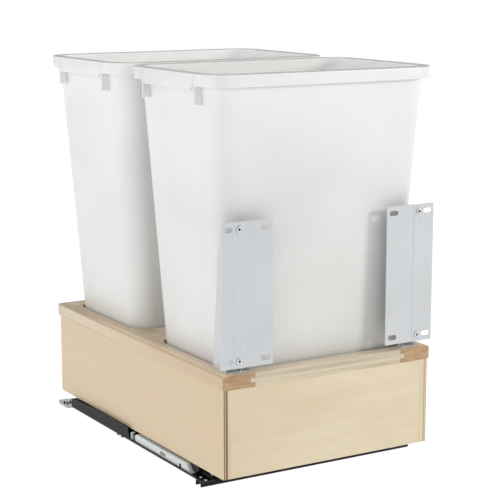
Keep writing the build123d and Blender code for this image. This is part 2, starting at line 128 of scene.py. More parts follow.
class Shader:
    """Node tree of one finish: object coordinates in, one Principled surface out."""

    def __init__(self, name: str, **surface: Any) -> None:
        """Start a material.

        Args:
            name: Name of the material.
            **surface: Values of the Principled node's sockets, spaces written as underscores.
        """
        self.material = bpy.data.materials.new(name)
        self.material.use_nodes = True
        self.tree = self.material.node_tree
        self.tree.nodes.clear()
        names = {key.replace("_", " "): value for key, value in surface.items()}
        self.surface = self.node("ShaderNodeBsdfPrincipled", {}, names)
        self.node("ShaderNodeOutputMaterial", {}, {"Surface": self.surface.outputs[0]})
        self.place = self.node("ShaderNodeTexCoord", {}, {}).outputs["Object"]

    def node(self, kind: str, settings: dict[str, Any], inputs: dict[Any, Value]) -> bpy.types.Node:
        """Add any node.

        Args:
            kind: Blender's name for the node type.
            settings: Properties, set first; "stops" gives a colour ramp's positions and colours.
            inputs: Values or links of its sockets, by name, identifier or number.

        Returns:
            The new node.
        """
        node = self.tree.nodes.new(kind)
        for key, setting in settings.items():
            if key == "stops":
                elements = node.color_ramp.elements
                while len(elements) < len(setting):
                    elements.new(1.0)
                for element, (position, colour) in zip(elements, setting):
                    element.position = position
                    element.color = (*colour, 1.0)
            else:
                setattr(node, key, setting)
        for key, value in inputs.items():
            by_identifier = [socket for socket in node.inputs if socket.identifier == key]
            socket = by_identifier[0] if by_identifier else node.inputs[key]
            if isinstance(value, Signal):
                self.tree.links.new(value.socket, socket)
            elif isinstance(value, bpy.types.NodeSocket):
                self.tree.links.new(value, socket)
            elif socket.type == "RGBA" and len(value) == 3:
                socket.default_value = (*value, 1.0)
            else:
                socket.default_value = value
        return node

    def stretched(self, scale: Sequence[float], offset: Sequence[float] = (0, 0, 0)) -> Socket:
        """Stretch the object coordinates.

        Args:
            scale: Scale on each axis, applied second.
            offset: Move along each axis in metres, applied first.

        Returns:
            The stretched coordinates.
        """
        shift = self.node(
            "ShaderNodeVectorMath", {"operation": "ADD"}, {0: self.place, 1: tuple(offset)}
        )
        scaled = self.node(
            "ShaderNodeVectorMath",
            {"operation": "MULTIPLY"},
            {0: shift.outputs[0], 1: tuple(scale)},
        )
        return scaled.outputs[0]

    def axis(self, index: int) -> Signal:
        """One object coordinate, in metres."""
        parts = self.node("ShaderNodeSeparateXYZ", {}, {0: self.place})
        return Signal(self, parts.outputs[index])

    def noise(self, where: Socket, scale: float, detail: float = 2.0, twist: float = 0.0) -> Signal:
        """Soft noise from 0 to 1.

        Args:
            where: Coordinates that the noise is read at.
            scale: Size of its cells, in cells per unit.
            detail: Number of finer layers.
            twist: Distortion.

        Returns:
            The noise.
        """
        node = self.node(
            "ShaderNodeTexNoise",
            {},
            {"Vector": where, "Scale": scale, "Detail": detail, "Distortion": twist},
        )
        return Signal(self, node.outputs[0])

    def ramp(self, signal: Signal, stops: Sequence[tuple[float, Colour]]) -> Socket:
        """Colour that follows a signal through these stops."""
        node = self.node("ShaderNodeValToRGB", {"stops": stops}, {0: signal})
        return node.outputs[0]

    def mix(self, share: Value, first: Value, second: Value, mode: str = "MIX") -> Socket:
        """Blend two colours.

        Args:
            share: How much of the second colour.
            first: Colour at share 0.
            second: Colour at share 1.
            mode: Name of the blend.

        Returns:
            The blended colour.
        """
        node = self.node(
            "ShaderNodeMix",
            {"data_type": "RGBA", "blend_type": mode},
            {"Factor_Float": share, "A_Color": first, "B_Color": second},
        )
        return node.outputs[2]

    def paint(self, **channels: Value) -> None:
        """Link what changes over the surface to the Principled node's sockets."""
        for key, value in channels.items():
            socket = self.surface.inputs[key.replace("_", " ")]
            source = value.socket if isinstance(value, Signal) else value
            self.tree.links.new(source, socket)

    def bump(self, height: Signal, depth: float, strength: float = 1.0) -> None:
        """Roughen the surface.

        Args:
            height: Relief from 0 to 1.
            depth: Height of the relief in metres.
            strength: Share of it that shows.
        """
        node = self.node(
            "ShaderNodeBump", {}, {"Strength": strength, "Distance": depth, "Height": height}
        )
        self.paint(Normal=node.outputs[0])

    def mould(self, gloss: float) -> Signal:
        """Give the surface a moulded skin: slow changes of gloss, scuffs and a very fine relief.

        Args:
            gloss: Roughness where the skin is smoothest.

        Returns:
            The slow change, from 0 to 1.
        """
        slow = self.noise(self.place, 5.0, 2.0)
        scuffs = self.noise(self.stretched((40.0, 40.0, 300.0)), 1.0, 3.0, 0.5)
        self.paint(Roughness=gloss + slow * 0.06 + scuffs * 0.06)
        self.bump(self.noise(self.place, 1400.0, 1.0), 0.00002, 0.5)
        return slow


# ---------------------------------------------------------------- finishes
class Grain(Enum):
    """Way that the fibres run in a wooden piece."""

    ACROSS = 0
    DEEP = 1


@dataclass(frozen=True)
class Maple:
    """Clear-lacquered maple face, solid or veneer.

    A pitch is in cells per metre, across the grain and then along it.
    """

    name: str
    grain: Grain
    pale: Colour
    deep: Colour
    blush: Colour
    figure: float = 0.5
    streak: float = 0.35
    spread: float = 0.45
    swirl: float = 0.0
    lacquer: float = 0.0
    pitch: float = 34.0
    drawn_out: float = 2.4
    run: float = 1.6
    thread_pitch: tuple[float, float] = (306.0, 14.4)
    thread_share: float = 0.15
    fleck_pitch: tuple[float, float] = (900.0, 90.0)
    cloud_pitch: tuple[float, float] = (13.0, 5.0)
    rings: float = 70.0

    def along_grain(
        self, shader: Shader, pitch: tuple[float, float], offset: Sequence[float] = (0, 0, 0)
    ) -> Socket:
        """Draw coordinates out along the grain.

        Args:
            shader: Shader that reads them.
            pitch: Cells per metre across the grain and along it.
            offset: Move in metres that sets one pattern apart from the next.

        Returns:
            The coordinates, in cells.
        """
        across, along = pitch
        scale = [across, across, across]
        scale[self.grain.value] = along
        return shader.stretched(scale, offset)

    def material(self) -> bpy.types.Material:
        """Fibres drawn out along the grain, slow bands, contour lines, blushes and flecks.

        Returns:
            The material.
        """
        shader = Shader(
            self.name,
            Roughness=0.42,
            Specular_IOR_Level=0.4,
            Coat_Weight=self.lacquer,
            Coat_Roughness=0.16,
        )
        slow = self.along_grain(shader, (7.0, self.drawn_out / 2), (0.37, 0.11, 0.83))
        wide = shader.noise(slow, 1.0, 3.0, 0.6)
        bands = shader.noise(self.along_grain(shader, (self.pitch, self.run)), 1.0, 4.0, 0.35)
        threads = shader.noise(self.along_grain(shader, self.thread_pitch), 1.0, 2.0)
        specks = shader.noise(self.along_grain(shader, self.fleck_pitch), 1.0, 1.0)
        flecks = specks.above(0.66, 0.08)
        tone = wide * self.figure + bands * self.streak + threads * self.thread_share
        middle = (self.figure + self.streak + self.thread_share) / 2
        colour = shader.ramp(tone.above(middle, self.spread), ((0.0, self.deep), (1.0, self.pale)))
        cloudy = self.along_grain(shader, self.cloud_pitch, (0.7, 0.3, 0.5))
        clouds = shader.noise(cloudy, 1.0, 3.0, 0.8)
        colour = shader.mix(clouds.above(0.56, 0.22) * 0.5, colour, self.blush)
        shade = tuple(v * 0.86 for v in self.deep)
        broad = self.along_grain(shader, (8.0, self.drawn_out), (0.21, 0.6, 0.42))
        sweep = shader.noise(broad, 1.0, 1.5, 0.5)
        contours = (sweep * self.rings + bands * 2).math("SINE").above(0.55, 1.2)
        colour = shader.mix(contours * self.swirl, colour, shade)
        shader.paint(
            Base_Color=shader.mix(flecks * 0.25, colour, shade),
            Roughness=0.38 + bands * 0.12,
        )
        shader.bump(threads * 0.7 - flecks * 0.3, 0.00012, 0.6)
        return shader.material


@dataclass(frozen=True)
class EndGrain:
    """Sawn end of solid maple: short rings, pores and a deeper tone."""

    name: str
    pale: Colour
    deep: Colour

    def material(self) -> bpy.types.Material:
        """Curved growth rings across the section, under a close speckle of pores.

        Returns:
            The material.
        """
        shader = Shader(self.name, Roughness=0.6, Specular_IOR_Level=0.3)
        rings = shader.noise(shader.stretched((28.0, 1.0, 210.0), (0.2, 0, 0.4)), 1.0, 2.0, 1.2)
        pores = shader.noise(shader.place, 1500.0, 1.0)
        blotch = shader.noise(shader.place, 60.0, 2.0)
        tone = rings * 0.55 + blotch * 0.35 + pores * 0.1
        colour = shader.ramp(tone.above(0.5, 0.32), ((0.0, self.deep), (1.0, self.pale)))
        shade = tuple(v * 0.6 for v in self.deep)
        shader.paint(Base_Color=shader.mix(pores.above(0.62, 0.1) * 0.35, colour, shade))
        shader.bump(pores, 0.0001, 0.5)
        return shader.material


@dataclass(frozen=True)
class PlyEdge:
    """Cut edge of an upright plywood side panel, its plies counted in from one face."""

    name: str
    face: float
    inward: float
    plies: tuple[tuple[float, Colour], ...]
    waver: float = 0.6 * MM
    seam: float = 0.25 * MM

    def material(self) -> bpy.types.Material:
        """Bands of long grain and dark end grain, each as wide as its ply.

        Returns:
            The material.
        """
        shader = Shader(self.name, Roughness=0.55, Specular_IOR_Level=0.3)
        waver = shader.noise(shader.place, 45.0, 2.0) * self.waver - self.waver / 2
        depth = (shader.axis(0) - self.face) * self.inward + waver
        colour: Value = self.plies[0][1]
        for start, ply in self.plies[1:]:
            colour = shader.mix(depth.above(start * MM, self.seam), colour, ply)
        fibre = shader.noise(shader.stretched((420.0, 420.0, 8.0)), 1.0, 3.0)
        dark = shader.mix(1.0, colour, (0.62, 0.6, 0.58), "MULTIPLY")
        shader.paint(Base_Color=shader.mix(fibre.above(0.55, 0.3) * 0.45, colour, dark))
        shader.bump(fibre, 0.0002, 0.5)
        return shader.material


@dataclass(frozen=True)
class Moulded:
    """Injection-moulded plastic with a faint spark-eroded skin."""

    name: str
    colour: Colour
    roughness: float = 0.4
    gleam: float = 0.45

    def material(self) -> bpy.types.Material:
        """Near-even colour under a moulded skin.

        Returns:
            The material.
        """
        shader = Shader(self.name, Roughness=self.roughness, Specular_IOR_Level=self.gleam)
        slow = shader.mould(self.roughness - 0.05)
        second_tone = tuple(v * 0.955 for v in self.colour)
        shader.paint(Base_Color=shader.mix(slow.above(0.5, 0.5), self.colour, second_tone))
        return shader.material


@dataclass(frozen=True)
class BinPlastic:
    """White polyethylene, its colour painted paler towards the open top: painted light, standing in
    for daylight shining through the wall.
    """

    name: str
    low: Colour
    high: Colour
    # grey of a painted shade line along the top of the rim
    lip: Colour = (0.4, 0.4, 0.385)
    painted_glow_span: tuple[float, float] = (0.1, 0.55)
    lip_shade_start: float = 565.5 * MM
    lip_shade_blend: float = 0.6 * MM

    def material(self) -> bpy.types.Material:
        """Body painted paler with height, as painted light, under a moulded skin, with a painted
        shade line along the lip.

        Returns:
            The material.
        """
        shader = Shader(
            self.name,
            Roughness=0.4,
            Specular_IOR_Level=0.4,
            Subsurface_Weight=0.5,
            Subsurface_Radius=(1.0, 1.0, 1.0),
            Subsurface_Scale=0.004,
        )
        rise = shader.axis(2)
        start, end = self.painted_glow_span
        # painted light: the colour rises from low to high up the wall, standing in for light
        # shining through the wall near the open top
        body = shader.mix(rise.above((start + end) / 2, end - start), self.low, self.high)
        slow = shader.mould(0.34)
        clouded = shader.mix(1.0, body, tuple(v * 0.97 for v in self.high), "MULTIPLY")
        body = shader.mix(slow.above(0.6, 0.4) * 0.5, body, clouded)
        # painted shade: the grey line along the rim's top, from its start height up
        lip = rise.above(self.lip_shade_start, self.lip_shade_blend)
        shader.paint(Base_Color=shader.mix(lip, body, self.lip))
        return shader.material


@dataclass(frozen=True)
class Coated:
    """Sheet steel under powder coat or paint."""

    name: str
    colour: Colour
    roughness: float
    gleam: float = 0.5

    def material(self) -> bpy.types.Material:
        """Even coat with slow changes of colour, and orange peel in its gloss and relief.

        Returns:
            The material.
        """
        shader = Shader(self.name, Roughness=self.roughness, Specular_IOR_Level=self.gleam)
        slow = shader.noise(shader.place, 14.0, 2.0)
        peel = shader.noise(shader.place, 420.0, 2.0)
        dull = tuple(v * 0.9 for v in self.colour)
        shader.paint(
            Base_Color=shader.mix(slow.above(0.5, 0.7), self.colour, dull),
            Roughness=self.roughness - 0.04 + peel * 0.08,
        )
        shader.bump(peel, 0.00004, 0.6)
        return shader.material


@dataclass(frozen=True)
class Plated:
    """Zinc-plated or bright steel."""

    name: str
    colour: Colour
    roughness: float
    mottle: float = 0.15

    def material(self) -> bpy.types.Material:
        """Metal with crystal mottle, drawing lines and small changes of gloss.

        Returns:
            The material.
        """
        shader = Shader(self.name, Roughness=self.roughness, Metallic=1.0)
        cloud = shader.noise(shader.place, 160.0, 3.0, 0.4)
        lines = shader.noise(shader.stretched((900.0, 12.0, 900.0)), 1.0, 2.0)
        dull = tuple(v * (1 - self.mottle * 2) for v in self.colour)
        shader.paint(
            Base_Color=shader.mix(cloud.above(0.5, 0.5), self.colour, dull),
            Roughness=self.roughness - 0.05 + cloud * 0.08 + lines * 0.05,
        )
        shader.bump(lines, 0.00002, 0.4)
        return shader.material


# ---------------------------------------------------------------- mesh tools
def bevel(
    mesh: bmesh.types.BMesh,
    geom: Sequence[Any],
    width: float,
    segments: int,
    corners: bool = False,
    material: int = -1,
) -> dict[str, list[Any]]:
    """Bevel edges, held clear of their neighbours, or corners by their full width.

    Args:
        mesh: Mesh to change.
        geom: Its edges, or its vertices where corners are cut.
        width: Set-back of the bevel.
        segments: Faces across it.
        corners: Whether vertices are cut, not edges.
        material: Material index of the new faces, or -1 for their neighbours' own.

    Returns:
        The new geometry by kind.
    """
    return bmesh.ops.bevel(
        mesh,
        geom=geom,
        offset=width,
        offset_type="OFFSET",
        segments=segments,
        profile=0.5,
        affect="VERTICES" if corners else "EDGES",
        clamp_overlap=not corners,
        material=material,
    )


def soften(mesh: bmesh.types.BMesh, width: float, second_tone: int = -1) -> None:
    """Round every sharp edge, and leave the flat faces between them flat.

    Args:
        mesh: Closed mesh to change.
        width: Width of the rounding in metres.
        second_tone: Material index of the rounding, or -1 for its neighbours' own; a paler one
            there paints a highlight on the edges.
    """
    turns = {e: e.calc_face_angle(0.0) for e in mesh.edges if len(e.link_faces) == 2}
    for face in mesh.faces:
        face.smooth = False
    for edge, turn in turns.items():
        if GENTLE < turn <= SHARP:
            for face in edge.link_faces:
                face.smooth = True
    sharp = [edge for edge, turn in turns.items() if turn > SHARP]
    for face in bevel(mesh, sharp, width, 2, material=second_tone)["faces"]:
        face.smooth = True


def finish_piece(
    mesh: bmesh.types.BMesh,
    name: str,
    body: str,
    materials: Sequence[bpy.types.Material],
    stands_for: Iterable[str] = (),
) -> bpy.types.Object:
    """Turn a bmesh into a dressed object that rides on its body.

    Args:
        mesh: Finished bmesh in the shared frame, freed here.
        name: Name of the object.
        body: CAD body that it moves with.
        materials: Materials by face index.
        stands_for: CAD nodes that it replaces.

    Returns:
        The new object.
    """
    data = bpy.data.meshes.new(name)
    mesh.to_mesh(data)
    mesh.free()
    for material in materials:
        data.materials.append(material)
    piece = bpy.data.objects.new(name, data)
    bpy.context.scene.collection.objects.link(piece)
    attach(piece, body)
    if stands_for:
        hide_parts(*stands_for)
    log.info("%s: %d faces", name, len(data.polygons))
    return piece


def add_block(
    mesh: bmesh.types.BMesh, low: Sequence[float], high: Sequence[float]
) -> list[bmesh.types.BMVert]:
    """Add a block.

    Args:
        mesh: Mesh that it is added to.
        low: One corner.
        high: The corner opposite.

    Returns:
        The block's vertices.
    """
    low, high = Vector(low), Vector(high)
    place = Matrix.Translation((low + high) / 2) @ Matrix.Diagonal((*(high - low), 1.0))
    return bmesh.ops.create_cube(mesh, size=1.0, matrix=place)["verts"]


def copy_node(node: str) -> bmesh.types.BMesh:
    """Copy a CAD node's mesh.

    Args:
        node: Name of the node.

    Returns:
        The copy, welded, with its flat faces whole again.
    """
    mesh = bmesh.new()
    mesh.from_mesh(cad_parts[node].data)
    bmesh.ops.remove_doubles(mesh, verts=mesh.verts, dist=WELD)
    bmesh.ops.dissolve_limit(
        mesh,
        angle_limit=FLAT,
        use_dissolve_boundaries=False,
        verts=mesh.verts,
        edges=mesh.edges,
    )
    return mesh


def dress_node(
    node: str,
    body: str,
    materials: Sequence[bpy.types.Material],
    width: float,
    choose: Callable[[bmesh.types.BMFace], int] | None = None,
    shape: Callable[[bmesh.types.BMesh], None] | None = None,
    second_tone: int = -1,
) -> bpy.types.Object:
    """Stand a rounded, dressed copy in for a CAD node.

    Args:
        node: Name of the CAD node.
        body: Body that it rides on.
        materials: Materials by face index.
        width: Width of its rounded edges in metres.
        choose: Gives a face's material index, where there are several.
        shape: Changes the copy's outline before its edges are rounded.
        second_tone: Material index of the rounded edges, or -1 for their neighbours' own; a paler
            one paints a highlight on them.

    Returns:
        The new object.
    """
    mesh = copy_node(node)
    if shape:
        shape(mesh)
    if choose:
        for face in mesh.faces:
            face.material_index = choose(face)
    soften(mesh, width, second_tone)
    return finish_piece(mesh, f"{node}_dressed", body, materials, [node])


# ---------------------------------------------------------------- sub-assemblies
@dataclass
class WoodenBox:
    """Plywood box under a solid maple frame."""

    arris: float = 0.25 * MM
    frame_arris: float = 0.4 * MM
    rails: Sequence[str] = ("front", "middle", "back")
    left_plies: tuple[tuple[float, Colour], ...] = (
        (0.0, (0.66, 0.53, 0.36)),
        (0.8, (0.30, 0.20, 0.115)),
        (2.7, (0.53, 0.39, 0.24)),
        (4.2, (0.25, 0.155, 0.09)),
        (6.9, (0.82, 0.69, 0.49)),
        (9.5, (0.52, 0.42, 0.29)),
        (10.1, (0.76, 0.66, 0.46)),
    )
    right_plies: tuple[tuple[float, Colour], ...] = (
        (0.0, (0.50, 0.42, 0.31)),
        (1.6, (0.74, 0.62, 0.43)),
        (3.0, (0.52, 0.40, 0.25)),
        (5.5, (0.78, 0.66, 0.46)),
    )
    stile_end_y: float = 0.255
    side_face: Maple = Maple(
        "side_veneer",
        Grain.DEEP,
        (0.73, 0.592, 0.402),
        (0.64, 0.505, 0.327),
        (0.735, 0.553, 0.377),
        swirl=0.12,
    )
    front_face: Maple = Maple(
        "front_veneer",
        Grain.ACROSS,
        (0.87, 0.765, 0.57),
        (0.715, 0.595, 0.405),
        (0.74, 0.615, 0.43),
        figure=0.8,
        spread=0.3,
        swirl=0.75,
        drawn_out=8.0,
    )
    rail_wood: Maple = Maple(
        "rail_maple",
        Grain.ACROSS,
        (0.69, 0.585, 0.43),
        (0.38, 0.285, 0.18),
        (0.62, 0.53, 0.385),
        figure=0.2,
        streak=0.65,
        spread=0.22,
        lacquer=0.8,
        pitch=150.0,
    )
    # painted light: a paler copy of the rail wood for its top faces, standing in for the light that
    # falls on them
    rail_top_lit: Maple = replace(
        rail_wood,
        name="rail_maple_top_painted_light",
        pale=(0.9, 0.78, 0.58),
        deep=(0.72, 0.58, 0.4),
        blush=(0.86, 0.7, 0.5),
    )
    stile_wood: Maple = Maple(
        "stile_maple",
        Grain.DEEP,
        (0.66, 0.5, 0.325),
        (0.55, 0.405, 0.248),
        (0.65, 0.476, 0.3),
        swirl=0.1,
        lacquer=0.8,
    )
    # painted light: a paler copy of the stile wood for its top faces, standing in for the light
    # that falls on them
    stile_top_lit: Maple = replace(
        stile_wood,
        name="stile_maple_top_painted_light",
        pale=(0.9, 0.7, 0.46),
        deep=(0.76, 0.57, 0.36),
        blush=(0.88, 0.66, 0.43),
    )
    stile_end: EndGrain = EndGrain("stile_end_grain", (0.60, 0.40, 0.23), (0.38, 0.235, 0.13))

    def build(self) -> None:
        """Build the panels, then the frame on top of them."""
        self.build_panels()
        self.build_frame()

    def build_panels(self) -> None:
        """Dress the five panels, with plies on the side panels' cut edges."""
        side, front = self.side_face.material(), self.front_face.material()
        for hand, inward, plies in (
            ("left", 1.0, self.left_plies),
            ("right", -1.0, self.right_plies),
        ):
            node = f"side_panel_{hand}"
            low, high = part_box(node)
            face = low.x if inward > 0 else high.x
            edge = PlyEdge(f"ply_edge_{hand}", face, inward, plies).material()
            self.dress_panel(node, [side, edge], lambda f: int(abs(f.normal.x) < TOWARDS))
        for node in ("front_panel", "back_panel"):
            self.dress_panel(node, [front])
        self.dress_panel("bottom_panel", [side])

    def dress_panel(
        self,
        node: str,
        finishes: Sequence[bpy.types.Material],
        choose: Callable[[bmesh.types.BMFace], int] | None = None,
    ) -> None:
        """Dress one plywood panel.

        Args:
            node: Name of its CAD node.
            finishes: Materials by face index.
            choose: Gives a face's material index, where there are several.
        """
        dress_node(node, "drawer", finishes, self.arris, choose)

    def build_frame(self) -> None:
        """Dress the frame: a paler copy of the wood on top, painted light, with end grain where a
        stile is sawn.
        """
        rail = [self.rail_wood.material(), self.rail_top_lit.material()]
        stile = [self.stile_wood.material(), self.stile_top_lit.material(), self.stile_end.material()]
        for node, finishes, choose in (
            *((f"frame_rail_{place}", rail, self.rail_finish) for place in self.rails),
            *((f"frame_stile_{hand}", stile, self.stile_finish) for hand in ("left", "right")),
        ):
            dress_node(node, "drawer", finishes, self.frame_arris, choose)

    def rail_finish(self, face: bmesh.types.BMFace) -> int:
        """Material index on a rail: 1 on top, where a paler copy paints light, 0 elsewhere."""
        return int(face.normal.z > SQUARE)

    def stile_finish(self, face: bmesh.types.BMFace) -> int:
        """Material index on a stile.

        Args:
            face: Face of the stile's copy, in metres.

        Returns:
            2 on its sawn ends, 1 on top for the painted light, 0 elsewhere.
        """
        if abs(face.normal.y) > SQUARE and abs(face.calc_center_median().y) > self.stile_end_y:
            return 2
        return self.rail_finish(face)


@dataclass
class WasteBin:
    """Tapered tub under a turned-down rim, with a deeper grip on each short side.

    Sizes are in millimetres, from the underside of its foot.
    """

    name: str
    foot: tuple[float, float] = (272.0, 200.8)
    top: tuple[float, float] = (349.6, 230.0)
    height: float = 531.0
    corner: float = 34.0
    wall: float = 2.5
    floor: float = 3.0
    foot_round: float = 6.0
    mouth_round: float = 0.9
    dish_spare: float = 1.5
    inner_share: float = 0.7
    rim: tuple[float, float, float] = (370.4, 253.0, 43.8)
    rim_round: float = 1.4
    skirt: float = 17.0
    grip: float = 22.5
    grip_half: tuple[float, float] = (73.5, 66.0)
    webs: tuple[float, float] = (-77.0, 69.0)
    web_height: float = 42.0
    web_inset: float = 0.4
    web_arris: float = 0.4
    near: float = 0.1
    segments: int = 10
    crease: float = radians(38)
    plastic: BinPlastic = BinPlastic("white_bin_plastic", (0.735, 0.735, 0.72), (0.81, 0.81, 0.805))
    # painted light: a paler copy of the same plastic on the inner wall and floor, standing in for
    # light falling into the tub
    lit_inside: BinPlastic = BinPlastic("bin_inner_wall_painted_light", (0.9, 0.9, 0.885), (0.94, 0.94, 0.925))

    def outline(self, rise: float, inset: float) -> Section:
        """Work out a section of the tub.

        Args:
            rise: Height of the section.
            inset: Distance that it is drawn in by.

        Returns:
            The section.
        """
        share = rise / self.height
        width = self.foot[0] + (self.top[0] - self.foot[0]) * share - 2 * inset
        depth = self.foot[1] + (self.top[1] - self.foot[1]) * share - 2 * inset
        return width, depth, self.corner - inset, rise

    def brim(self, drop: float, inset: float) -> Section:
        """Section of the rim, a drop below the top and drawn in by an inset."""
        width, depth, corner = self.rim
        return width - 2 * inset, depth - 2 * inset, corner - inset, self.height - drop

    def dish(self, turn: float) -> Section:
        """Work out a section of the round between the inner wall and the floor.

        Args:
            turn: Angle round it, from 0 at the wall.

        Returns:
            The section.
        """
        radius = self.foot_round - self.wall + self.dish_spare
        width, depth, corner, _ = self.outline(self.floor, self.wall + radius * (1 - cos(turn)))
        return width, depth, corner, self.floor + radius * (1 - sin(turn))

    def sections(self) -> list[Section]:
        """List the wall's sections.

        Returns:
            The sections from under the foot, over the rim and down to the floor.
        """
        turns = [radians(a) for a in (0, 30, 60, 90)]
        turned = [(1 - cos(turn), 1 - sin(turn)) for turn in turns]
        foot = [self.outline(self.foot_round * up, self.foot_round * out) for up, out in turned]
        under = [self.outline(self.height - self.wall, 0), self.brim(self.wall, self.wall)]
        hem = [self.brim(self.skirt, self.wall), self.brim(self.skirt, 0)]
        lip = [self.brim(self.rim_round * down, self.rim_round * out) for out, down in turned]
        mouth = [
            self.outline(self.height, self.wall - self.mouth_round),
            self.outline(self.height - self.mouth_round, self.wall),
        ]
        return foot + under + hem + lip + mouth + [self.dish(turn) for turn in turns]

    def build(self) -> None:
        """Bridge the sections into one wall, cut the grips, add the webs and dress it."""
        low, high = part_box(self.name)
        centre = Vector(((low.x + high.x) / 2, (low.y + high.y) / 2, low.z))
        mesh = bmesh.new()
        before: list[bmesh.types.BMEdge] = []
        rows = self.sections()
        for number, section in enumerate(rows):
            ring = self.add_ring(mesh, section, number in (0, len(rows) - 1))
            if before:
                bmesh.ops.bridge_loops(mesh, edges=before + ring)
            before = ring
        bmesh.ops.recalc_face_normals(mesh, faces=mesh.faces)
        for side in (-1, 1):
            self.cut_grip(mesh, side)
            self.add_webs(mesh, side)
        mesh.normal_update()
        for face in mesh.faces:
            face.smooth = True
            # inside faces take the paler copy, painted light
            face.material_index = int(self.is_inside(face))
        bmesh.ops.scale(mesh, vec=(MM, MM, MM), verts=mesh.verts)
        bmesh.ops.translate(mesh, vec=centre, verts=mesh.verts)
        finishes = [self.plastic.material(), self.lit_inside.material()]
        piece = finish_piece(
            mesh, f"{self.name}_shell", self.name, finishes, [self.name]
        )
        piece.data.set_sharp_from_angle(angle=self.crease)

    def is_inside(self, face: bmesh.types.BMFace) -> bool:
        """Tell the tub's inside from the rest.

        Args:
            face: Face of the tub.

        Returns:
            Whether it lies on the inner wall or the floor.
        """
        x, y, z = face.calc_center_median()
        width, depth, _, _ = self.outline(z, self.wall * self.inner_share)
        looks_in = x * face.normal.x + y * face.normal.y < 0 or face.normal.z > TOWARDS
        return looks_in and abs(x) < width / 2 and abs(y) < depth / 2 and z > self.floor / 2

    def add_ring(
        self, mesh: bmesh.types.BMesh, section: Section, closed: bool
    ) -> list[bmesh.types.BMEdge]:
        """Add one rounded rectangle.

        Args:
            mesh: Mesh that it is added to.
            section: Its size, corners and height.
            closed: Whether it keeps its face.

        Returns:
            The ring's edges.
        """
        width, depth, corner, rise = section
        verts = bmesh.ops.create_grid(mesh, x_segments=1, y_segments=1, size=0.5)["verts"]
        bmesh.ops.scale(mesh, vec=(width, depth, 1), verts=verts)
        bmesh.ops.translate(mesh, vec=(0, 0, rise), verts=verts)
        rounded = bevel(mesh, verts, corner, self.segments, corners=True)
        face = rounded["verts"][0].link_faces[0]
        edges = list(face.edges)
        if not closed:
            bmesh.ops.delete(mesh, geom=[face], context="FACES_ONLY")
        return edges

    def cut_grip(self, mesh: bmesh.types.BMesh, side: int) -> None:
        """Deepen the middle of the skirt on one short side.

        Args:
            mesh: Mesh of the tub.
            side: 1 for the right side and -1 for the left.
        """
        skirt_x = self.rim[0] / 2 - self.wall - self.near
        hem_z = self.height - self.skirt
        skirt = [
            face
            for face in mesh.faces
            if all(side * v.co.x > skirt_x for v in face.verts)
            and (
                abs(face.normal.z) < SQUARE
                or abs(face.calc_center_median().z - hem_z) < self.near
            )
        ]
        cut = set(skirt) | {e for f in skirt for e in f.edges} | {v for f in skirt for v in f.verts}
        outer, inner = self.grip_half
        for y in (-outer, -inner, inner, outer):
            done = bmesh.ops.bisect_plane(
                mesh, geom=list(cut), plane_co=(0, y, 0), plane_no=(0, 1, 0)
            )
            cut |= set(done["geom"])
        lower = [
            v
            for v in mesh.verts
            if side * v.co.x > skirt_x
            and abs(v.co.z - hem_z) < self.near
            and abs(v.co.y) < inner + self.near
        ]
        bmesh.ops.translate(mesh, vec=(0, 0, self.skirt - self.grip), verts=lower)

    def add_webs(self, mesh: bmesh.types.BMesh, side: int) -> None:
        """Stand two webs between the wall and the skirt on one short side.

        Args:
            mesh: Mesh of the tub.
            side: 1 for the right side and -1 for the left.
        """
        reach = self.rim[0] / 2
        root = self.top[0] / 2 - 2 * self.wall
        for y in self.webs:
            low = (side * root, y - self.wall / 2, self.height - self.web_height)
            high = (side * (reach - self.web_inset), y + self.wall / 2, self.height - self.wall)
            verts = add_block(mesh, low, high)
            for vert in verts:
                if abs(vert.co.x) < (root + reach) / 2:
                    vert.co.x = side * self.outline(vert.co.z, self.wall / 2)[0] / 2
            edges = list({e for v in verts for e in v.link_edges})
            if side < 0:
                faces = list({f for v in verts for f in v.link_faces})
                bmesh.ops.reverse_faces(mesh, faces=faces)
            bevel(mesh, edges, self.web_arris, 1)


